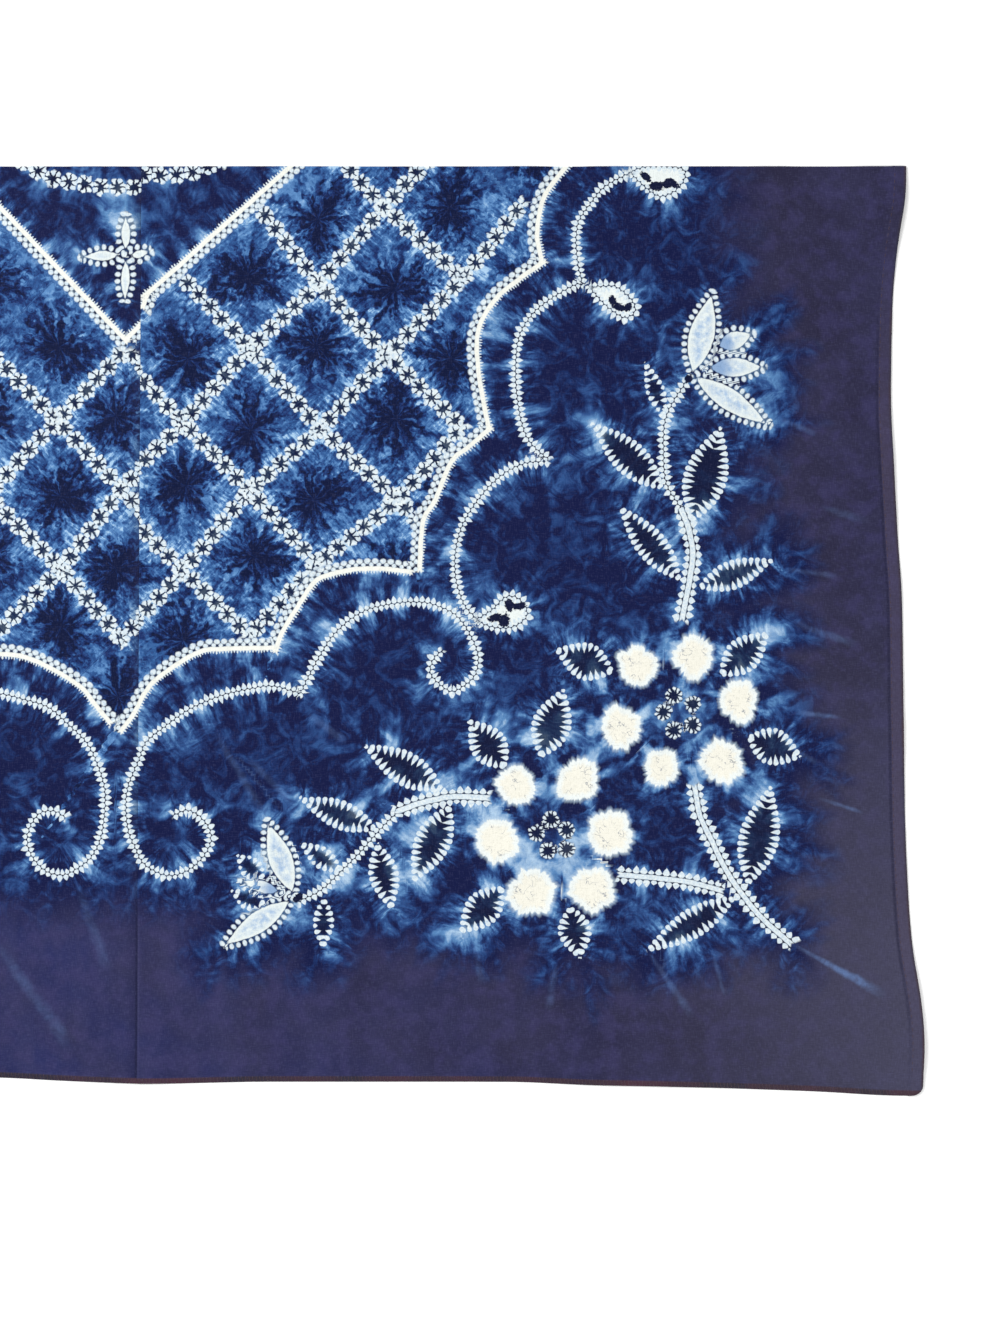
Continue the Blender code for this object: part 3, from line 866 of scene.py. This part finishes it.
# The leaves: teeth along a stitched outline. They point inwards, or outwards where the inside was
# wrapped and stayed pale.
leaf = stitched("leaf", 0.25, 1.0)
near = stored("near")
pale = add(tree, "Math LESS_THAN", near["Z"], 0.0)
root = add(tree, "Math ADD", leaf["Y"], 1.5)
length = add(tree, "Math ABSOLUTE", near["Z"])
teeth = grouped(tooth, leaf["X"], root, LEAF_STITCH, 2.6, length)[0]
teeth = both(teeth, soft_step(tree, leaf["Z"], 9.5, 11.5))
leaf_beads = dots_at(leaf, add(tree, "Math ADD", leaf["Y"], 3.1), LEAF_STITCH, 2.0, 2.7)
leaf_beads = both(leaf_beads, soft_step(tree, leaf["Z"], 6.0, 7.0))
teeth = add(tree, "Mix", pale, teeth, leaf_beads)
wrap = stored("wrap")
leaf_fill = both(add(tree, "MapRange", leaf["Y"], 0.1, 0.9), pale)
small = add(tree, "Math GREATER_THAN", near["Z"], SMALL_PETALS)
dyed_base = both(small, soft_step(tree, wrap["Y"], 0.2, 0.55), 0.85)
leaf_middle = both(add(tree, "MapRange", leaf["Y"], 1.5, 7.0), pale)
leaf_ink = without(add(tree, "MapRange", leaf["Y"], 1.5, 6.0), pale)
off_beads = add(tree, "Math ABSOLUTE", add(tree, "Math ADD", leaf["Y"], 2.2))
bead_ink = both(soft_step(tree, off_beads, 1.8, 3.8), pale)

# The rings: their stitched outline is drawn with the scrolls, and inside it they stayed white.
ring_at = add(tree, "Math MULTIPLY_ADD", add(tree, "SeparateXYZ", rough_edge, out="Y"), 1.5, wrap["X"])
ring_fill = add(tree, "MapRange", ring_at, 1.3, 2.3)

# The petals: capped with a tied cover, so white to a ragged, pleated edge.
petal_at = add(tree, "Attribute", attribute_name="petal", out="Vector")
petal = add(tree, "SeparateXYZ", petal_at, out="X").node.outputs
angle = add(tree, "Math ARCTAN2", petal["Y"], petal["X"])
reach = add(tree, "VectorMath LENGTH", add(tree, "VectorMath MULTIPLY", petal_at, (1.0, 1.0, 0.0)))
round_at = add(tree, "CombineXYZ", add(tree, "Math COSINE", angle), add(tree, "Math SINE", angle), petal["Z"])
lobes = add(tree, "TexNoise", round_at, 1.1, 0.0, 0.5)
edge_pleats = add(tree, "TexNoise", round_at, 5.5, 1.0, 0.5)
ragged = add(tree, "Math MULTIPLY_ADD", lobes, 0.50, add(tree, "Math MULTIPLY", edge_pleats, 0.42))
ragged = add(tree, "Math ADD", reach, ragged)
petal_white = both(soft_step(tree, ragged, 1.30, 1.40), soft_step(tree, near["X"], 1.12, 1.18))
petal_edge = both(soft_step(tree, ragged, 1.38, 1.54), soft_step(tree, near["X"], 1.16, 1.26))
petal_heart = soft_step(tree, ragged, 1.0, 1.24)
far_out = add(tree, "CombineXYZ", angle, add(tree, "Math MULTIPLY", reach, 0.4), petal["Z"])
petal_pleats = add(tree, "TexNoise", far_out, 5.5, 3.0, 0.62)
petal_pleats = add(tree, "MapRange", petal_pleats, 0.36, 0.64, -1.0, 1.0)
petal_pleats = both(petal_pleats, add(tree, "Math POWER", 0.4, near["X"]))
petal_halo = add(tree, "Math POWER", 0.08, near["X"])

# The flower centres: small tied stars with more and narrower rays, open in the middle.
eye = add(tree, "Attribute", attribute_name="eye", out="Vector")
eye_at = add(tree, "VectorMath MULTIPLY_ADD", uneven, (5.0, 5.0, 0.0), eye)
eye_turn = add(tree, "SeparateXYZ", eye, out="Z")
eye_petals, eye_reach = grouped(star, eye_at, eye_turn, EYE_RADIUS, 0.10, EYE_RAYS)
eye_near = soft_step(tree, near["Y"], 8.5, 9.5)
eye_white = both(without(eye_petals, soft_step(tree, eye_reach, 0.36, 0.50)), eye_near)
eye_ink = both(soft_step(tree, eye_reach, 0.85, 1.12), eye_near)

# The blots: dye that ran in under the ties, with rough outlines.
blots = add(tree, "Math MULTIPLY_ADD", add(tree, "SeparateXYZ", rough_edge, out="X"), 1.1, spot["X"])
blots = add(tree, "MapRange", blots, 0.0, 0.15)

# The dye under the marks: pleats by every line, and in the lattice a dark heart to each cell.
dye = stored("dye")
speckle = add(tree, "TexNoise", flat_at, 0.9, 2.0, 0.7)
speckle = add(tree, "Math MULTIPLY_ADD", speckle, 0.5, -0.25)
mottle = add(tree, "TexNoise", flat_at, 0.048, 5.0, 0.60, 2.0, 1.4)
mottle = add(tree, "MapRange", mottle, 0.37, 0.63, -1.0, 1.0)
patchy = add(tree, "MapRange", mottle, -1.0, 1.0, 0.25, 1.6)


def total(*parts):
    """The sum of parts, each a value and how much of it."""
    result = 0.0
    for value, share in parts:
        result = add(tree, "Math MULTIPLY_ADD", value, share, result)
    return result


# Between the petals' caps the cloth was bunched hardest, and took the dye in dark gathers.
gathers = add(tree, "MapRange", lobes, 0.44, 0.60)
gathers = both(gathers, soft_step(tree, ragged, 1.7, 2.4), soft_step(tree, near["X"], 1.22, 1.42))
near_line = add(tree, "Math POWER", 0.88, off)
PLEATS_PER_MM = 0.24
line_pleats = total(
    (pleats(band, BAND_STITCH * PLEATS_PER_MM, 3), 0.46), (pleats(scroll, 5.6 * PLEATS_PER_MM, 5), 0.46),
    (pleats(leaf, LEAF_STITCH * PLEATS_PER_MM, 7), 0.42), (petal_pleats, 0.42))
open_lightness = total(
    (dye["X"], 0.92), (near_line, 0.18), (speckle, 0.16), (both(line_pleats, patchy), 0.80), (mottle, 0.19),
    (both(petal_halo, patchy), 0.7), (gathers, -0.35))
open_lightness = both(open_lightness, add(tree, "Math MULTIPLY_ADD", open_lightness, -0.26, 1.06))

cell_at = add(tree, "Attribute", attribute_name="cell", out="Vector")
cell = add(tree, "SeparateXYZ", cell_at, out="X").node.outputs
way = add(tree, "VectorMath NORMALIZE", add(tree, "VectorMath MULTIPLY", cell_at, (1.0, 1.0, 0.0)))
way = add(tree, "VectorMath ADD", way, add(tree, "CombineXYZ", 0.0, 0.0, cell["Z"]))
way = add(tree, "VectorMath MULTIPLY_ADD", wander, (0.55, 0.55, 1.1), way)
rays = add(tree, "TexNoise", way, 3.2, 3.0, 0.56)
heart = add(tree, "Math MULTIPLY_ADD", rays, 62.0, dye["Z"])
heart = add(tree, "MapRange", heart, 43.0, 68.0, 1.0, 0.0)
cell_rays = add(tree, "MapRange", rays, 0.38, 0.62, 1.0, -1.0)
lattice_lightness = total(
    (heart, -0.54), (near_line, 0.36), (speckle, 0.16), (lattice_pleats[0], 0.46), (lattice_pleats[1], 0.46),
    (cell_rays, -0.24), (mottle, 0.12))
lattice_lightness = add(tree, "Math ADD", lattice_lightness, 0.52)


def dyed(lightness, *stops):
    """How dark the dye took, as colours from the deepest at 0 to the palest at 1."""
    node = add(tree, "ValToRGB", lightness).node
    while len(node.color_ramp.elements) < len(stops):
        node.color_ramp.elements.new(0.5)
    for element, (place, colour) in zip(node.color_ramp.elements, stops):
        element.position = place
        element.color = srgb(colour)
    return node.outputs["Color"]


def paint(mask, under, over):
    """One colour over another, as far as the mask says. Each is a hex value or a node's output."""
    under, over = (srgb(c) if isinstance(c, str) else c for c in (under, over))
    return add(tree, "Mix", mask, under, over, data_type="RGBA")


open_dye = dyed(
    open_lightness,
    (0.0, "#0f163f"), (0.18, "#182d5e"), (0.38, "#2d4f85"), (0.62, "#5682b2"), (1.0, "#b2cce2"))
lattice_dye = dyed(
    lattice_lightness,
    (0.0, "#0a1436"), (0.3, "#172c60"), (0.6, "#2f5890"), (0.85, "#5b88bb"), (1.0, "#a3c4e0"))
colour = paint(add(tree, "MapRange", inside, -2.0, 4.0), open_dye, lattice_dye)

# Away from the stitching the dye took evenly: violet navy at the right, bluer at the left.
haze = add(tree, "MapRange", add(tree, "TexNoise", flat_at, 0.013, 4.0, 0.6), 0.38, 0.62)
even_dye = paint(wrap["Z"], "#282c58", "#27253c")
even_dye = paint(both(haze, 0.7), even_dye, "#302f4b")
hung = add(tree, "TexNoise", add(tree, "VectorMath MULTIPLY", flat_at, (0.035, 0.006, 0.0)), 1.0, 3.0, 0.6)
hung = without(add(tree, "MapRange", hung, 0.45, 0.62, 0.0, 0.45), both(wrap["Z"], 0.8))
even_dye = paint(hung, even_dye, "#36375a")
blotch = add(tree, "TexNoise", flat_at, 0.05, 3.0, 0.6)
even_dye = paint(add(tree, "MapRange", blotch, 0.46, 0.62, 0.0, 0.4), even_dye, "#3b3862")
# Painted sheen: the border's colour is made paler and greyer towards the near right corner.
painted_corner_sheen = stored("painted_corner_sheen")["X"]
even_dye = paint(both(painted_corner_sheen, 0.75), even_dye, "#454458")
colour = paint(dye["Y"], colour, even_dye)

# The long pale folds: broader and softer at one end.
fold = stored("pale_fold")
fold_across = add(tree, "Math ABSOLUTE", fold["Y"])
fold_across = add(tree, "Math MULTIPLY_ADD", add(tree, "SeparateXYZ", wander, out="Z"), 0.9, fold_across)
wisps = add(tree, "MapRange", mottle, -1.0, 1.0, 0.35, 1.1)
fold_line = both(
    soft_step(tree, fold_across, 0.1, 1.0), add(tree, "MapRange", fold["X"], 0.0, 0.25),
    soft_step(tree, fold["X"], 0.75, 1.0), fold["Z"])
colour = paint(both(fold_line, wisps, 0.62), colour, "#6684b8")

# The pressed tuck: a painted highlight along the top of its folded edge, and painted shadow on the cloth
# under the lap, darkest in a line just left of the fold.
edge = stored("edge")
under_lap = add(tree, "Math LESS_THAN", edge["Z"], -0.35)
# Painted shadow: the sheet under the lap is painted darker towards the fold.
painted_lap_shadow = both(add(tree, "MapRange", edge["Z"], -13.0, -1.0), under_lap)
colour = paint(both(painted_lap_shadow, 0.55), colour, "#1c1d3c")
# Painted highlight: a paler line along the top of the folded edge.
painted_fold_highlight = both(soft_step(tree, off_line(edge["Z"], 0.9), 0.3, 1.5), 0.55)
colour = paint(both(painted_fold_highlight, dye["Y"], 0.25), colour, "#55557c")
# Painted shadow: a dark line just left of the folded edge.
painted_crease_shadow = soft_step(tree, add(tree, "Math ABSOLUTE", add(tree, "Math ADD", edge["Z"], 0.8)), 0.4, 2.2)
colour = paint(both(painted_crease_shadow, dye["Y"], 0.55), colour, "#191a36")

# The stitching itself, from the dark ground round each mark up to the undyed white.
INK, WHITE, BLUISH, CREAM = "#0c1330", "#e2e9e7", "#b3c8da", "#e7e5d8"
line_ink = either(band_ink, scroll_ink)
dark_grounds = ((line_ink, 0.85), (lattice_ink, 0.9), (leaf_ink, 0.85), (bead_ink, 0.6), (eye_ink, 0.95))
for ground, depth in dark_grounds:
    colour = paint(both(ground, depth), colour, INK)
petal_mottle = add(tree, "MapRange", add(tree, "TexNoise", flat_at, 0.16, 3.0, 0.6), 0.35, 0.62)
wrapped = paint(both(leaf_middle, petal_mottle, 0.9), "#dbe3e1", "#9ab4d2")
wrapped = paint(dyed_base, wrapped, "#6f93c0")
colour = paint(leaf_fill, colour, wrapped)
colour = paint(ring_fill, colour, paint(petal_mottle, WHITE, "#dde4e2"))
white_marks = either(band_white, scroll_white, lattice_white, teeth, eye_white)
white_tint = add(tree, "MapRange", add(tree, "SeparateXYZ", rough_edge, out="Z"), -0.25, 0.2)
colour = paint(white_marks, colour, paint(white_tint, BLUISH, WHITE))
colour = paint(both(solid_line, band_end, 0.8), colour, "#ecebdf")
colour = paint(both(petal_edge, 0.5), colour, BLUISH)
colour = paint(petal_white, colour, paint(petal_heart, "#e2e8e6", CREAM))
colour = paint(blots, colour, INK)

# Painted shade of wrinkles under the petals' caps: short grey creases, here and there.
crease = add(tree, "TexNoise", flat_at, 0.13, 2.0, 0.5)
crease = soft_step(tree, off_line(crease, 0.5), 0.005, 0.022)
sparse = add(tree, "MapRange", add(tree, "TexNoise", flat_at, 0.085, 1.0, 0.5), 0.49, 0.58)
painted_wrinkle_shade = both(crease, sparse, petal_heart, petal_white)
colour = paint(both(painted_wrinkle_shade, 0.7), colour, "#77808f")

# The hems: a painted shadow line where the side hem steps down, in from the side fold, and folds worn to a
# red brown at their edges.
HEM_SHADOW_IN = 13.2
SIDE_PRESSED_IN, BOTTOM_PRESSED_IN = (11.5, 13.0), (4.4, 6.2)
worn = add(tree, "MapRange", add(tree, "TexNoise", flat_at, 0.009, 3.0, 0.6), 0.40, 0.60)
# Painted shadow: a dark line along the side hem's inner edge, where it steps down to the cloth.
hem_step_shadow = soft_step(tree, off_line(edge["X"], HEM_SHADOW_IN), 0.4, 3.0)
pressed = both(
    add(tree, "MapRange", edge["Y"], 20.0, 150.0, 0.2, 1.0),
    add(tree, "MapRange", edge["Y"], 640.0, 800.0, 1.0, 0.2))
colour = paint(both(hem_step_shadow, pressed, 0.6), colour, "#1c1b30")
side_band = both(soft_step(tree, edge["X"], *SIDE_PRESSED_IN), pressed)
colour = paint(both(side_band, 0.5), colour, "#4a4358")
side_worn = both(soft_step(tree, edge["X"], 0.8, 3.6), add(tree, "MapRange", worn, 0.0, 1.0, 0.35, 0.9))
colour = paint(side_worn, colour, paint(worn, "#303137", "#42343a"))
low_band = soft_step(tree, edge["Y"], *BOTTOM_PRESSED_IN)
low_brown = paint(worn, "#302b30", "#4a2f36")
colour = paint(both(low_band, 0.85), colour, low_brown)

# Plain weave. Its threads lie about 0.45 mm apart, too fine to show, so they are drawn twice as
# coarse: uneven yarns, which run both ways.
warp_yarns = add(tree, "TexNoise", add(tree, "VectorMath MULTIPLY", flat_at, (1.1, 0.16, 0.0)), 1.0, 1.0, 0.5)
weft_yarns = add(tree, "TexNoise", add(tree, "VectorMath MULTIPLY", flat_at, (0.16, 1.1, 0.0)), 1.0, 1.0, 0.5)
yarns = add(tree, "Math ADD", warp_yarns, weft_yarns)
nap = add(tree, "TexNoise", flat_at, 0.55, 2.0, 0.7)
yarns = add(tree, "Math MULTIPLY_ADD", nap, 0.6, yarns)
colour = paint(add(tree, "MapRange", yarns, 1.32, 1.60, 0.0, 0.09), colour, "#686c92")
colour = paint(add(tree, "MapRange", yarns, 1.02, 1.30, 0.16, 0.0), colour, "#10142e")

surface = add(tree, "BsdfPrincipled")
shader = surface.node
tree.links.new(colour, shader.inputs["Base Color"])
shader.inputs["Roughness"].default_value = 0.55
shader.inputs["Specular IOR Level"].default_value = 0.05
shader.inputs["Sheen Weight"].default_value = 0.015
shader.inputs["Sheen Roughness"].default_value = 0.4
wrinkles = add(tree, "TexNoise", flat_at, 0.14, 3.0, 0.55)
relief = add(tree, "Math MULTIPLY_ADD", yarns, 0.25, wrinkles)
shader_bump = add(tree, "Bump", 0.6, 0.0012)
tree.links.new(relief, shader_bump.node.inputs["Height"])
tree.links.new(shader_bump, shader.inputs["Normal"])
tree.links.new(surface, tree.nodes.new("ShaderNodeOutputMaterial").inputs["Surface"])
mesh.materials.append(cotton)

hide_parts("cloth")
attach(cloth, "root")


# ---- The hem stitches: dark sewing thread ------------------------------------------------------
# Cotton thread, 0.4 mm thick. Along the bottom it is oversewn round the narrow hem, and along the
# side it runs in and out close to the wide hem's inner edge.
THREAD_RADIUS = 0.20
THREAD_SIDES = 6
OVERSEWN_STEP, OVERSEWN_SLANT = 3.4, 1.0
OVERSEWN_FROM, OVERSEWN_TO = 5.4, 0.5
RUNNING_STEP, RUNNING_LENGTH, RUNNING_IN = 6.4, 3.2, 11.2

face = BVHTree.FromPolygons(
    np.column_stack([x, y, z.ravel()]).tolist(), quads.tolist())


def on_cloth(at_x, at_y):
    """The height of the cloth's face, in mm."""
    return face.ray_cast(Vector((at_x, at_y, 50)), Vector((0, 0, -1)))[0].z


def stitch_path(start, end):
    """A stitch from start to end: out of the cloth, over its face, and in again."""
    path = []
    for share in (0.0, 0.12, 0.5, 0.88, 1.0):
        at_x, at_y = (np.array(start) + (np.array(end) - start) * share)
        over = THREAD_RADIUS * (-1.2 + 2.2 * np.sin(np.pi * share) ** 0.4)
        path.append((at_x, at_y, on_cloth(at_x, at_y) + over))
    return np.array(path)


paths = []
for at_x in np.arange(LEFT_CUT + 3, RIGHT_FOLD - 14, OVERSEWN_STEP):
    low = np.interp(at_x, stations, hem_line)
    paths.append(stitch_path((at_x, low + OVERSEWN_FROM), (at_x + OVERSEWN_SLANT, low + OVERSEWN_TO)))
for at_y in np.arange(BOTTOM_FOLD + 24, TOP_CUT - 6, RUNNING_STEP):
    ends = [(np.interp(t, levels, side_line) - RUNNING_IN, t) for t in (at_y, at_y + RUNNING_LENGTH)]
    paths.append(stitch_path(*ends))

thread_at, thread_quads = [], []
for path in paths:
    way = np.gradient(path, axis=0)
    way /= np.linalg.norm(way, axis=1)[:, None]
    across = np.cross(way, (0, 0, 1))
    across /= np.linalg.norm(across, axis=1)[:, None]
    up = np.cross(across, way)
    base = len(thread_at)
    for place, a, b in zip(path, across, up):
        for k in range(THREAD_SIDES):
            turn = 2 * np.pi * k / THREAD_SIDES
            thread_at.append(place + THREAD_RADIUS * (a * np.cos(turn) + b * np.sin(turn)))
    for ring in range(len(path) - 1):
        for k in range(THREAD_SIDES):
            a, b = base + ring * THREAD_SIDES + k, base + ring * THREAD_SIDES + (k + 1) % THREAD_SIDES
            thread_quads.append((a, b, b + THREAD_SIDES, a + THREAD_SIDES))
thread_mesh = bpy.data.meshes.new("hem_stitches")
thread_mesh.from_pydata((np.array(thread_at) * MM).tolist(), [], thread_quads)
thread_mesh.shade_smooth()
thread = bpy.data.objects.new("hem_stitches", thread_mesh)
bpy.context.scene.collection.objects.link(thread)

# Mercerised cotton thread: two plies twisted together, with a slight shine.
PLIES_PER_METRE = 1200
twine = bpy.data.materials.new("mercerised_cotton_thread")
twine.use_nodes = True
tree = twine.node_tree
tree.nodes.clear()
place = add(tree, "TexCoord", out="Object")
slope = add(tree, "VectorMath DOT_PRODUCT", place, (1.0, 1.0, 1.0), out="Value")
plies = add(tree, "Math SINE", add(tree, "Math MULTIPLY", slope, PLIES_PER_METRE * 2 * np.pi))
plies = add(tree, "MapRange", plies, -1.0, 1.0)
surface = add(tree, "BsdfPrincipled")
tree.links.new(paint(plies, "#3b3038", "#5d4a50"), surface.node.inputs["Base Color"])
surface.node.inputs["Roughness"].default_value = 0.5
surface.node.inputs["Specular IOR Level"].default_value = 0.2
tree.links.new(surface, tree.nodes.new("ShaderNodeOutputMaterial").inputs["Surface"])
thread_mesh.materials.append(twine)

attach(thread, "root")


# ---- The surface it lies on, and the light -----------------------------------------------------
# A plain matt white surface in a white room, which lights it evenly. A window's soft light comes
# from the far left, and a small lamp over the near corner lifts the cloth's sheen there.
HALF_SIDE = 6                  # metres
floor_mesh = bpy.data.meshes.new("surface")
floor_corners = [(HALF_SIDE * i, HALF_SIDE * j, 0) for i, j in ((-1, -1), (1, -1), (1, 1), (-1, 1))]
floor_mesh.from_pydata(floor_corners, [], [(0, 1, 2, 3)])
floor = bpy.data.objects.new("surface", floor_mesh)
bpy.context.scene.collection.objects.link(floor)
white = bpy.data.materials.new("matt_white_paper")
white.use_nodes = True
paper = white.node_tree.nodes["Principled BSDF"]
paper.inputs["Base Color"].default_value = srgb("#fafafa")
paper.inputs["Roughness"].default_value = 0.95
paper.inputs["Specular IOR Level"].default_value = 0.1
floor_mesh.materials.append(white)

ROOM_STRENGTH = 0.60
world = bpy.data.worlds.new("soft_room")
world.use_nodes = True
world.node_tree.nodes["Background"].inputs["Color"].default_value = srgb("#ffffff")
world.node_tree.nodes["Background"].inputs["Strength"].default_value = ROOM_STRENGTH
bpy.context.scene.world = world
bpy.context.scene.view_settings.view_transform = "Standard"


def soft_light(name, place, size, watts):
    """A square light that faces the middle of the cloth."""
    light = bpy.data.lights.new(name, "AREA")
    light.shape = "SQUARE"
    light.size = size
    light.energy = watts
    lamp = bpy.data.objects.new(name, light)
    lamp.location = place
    lamp.rotation_euler = (-Vector(place)).to_track_quat("-Z", "Y").to_euler()
    bpy.context.scene.collection.objects.link(lamp)


soft_light("far_window", (-3.0, 1.6, 3.0), 2.0, 150)
soft_light("near_corner", (1.05, -1.1, 2.3), 0.6, 20)
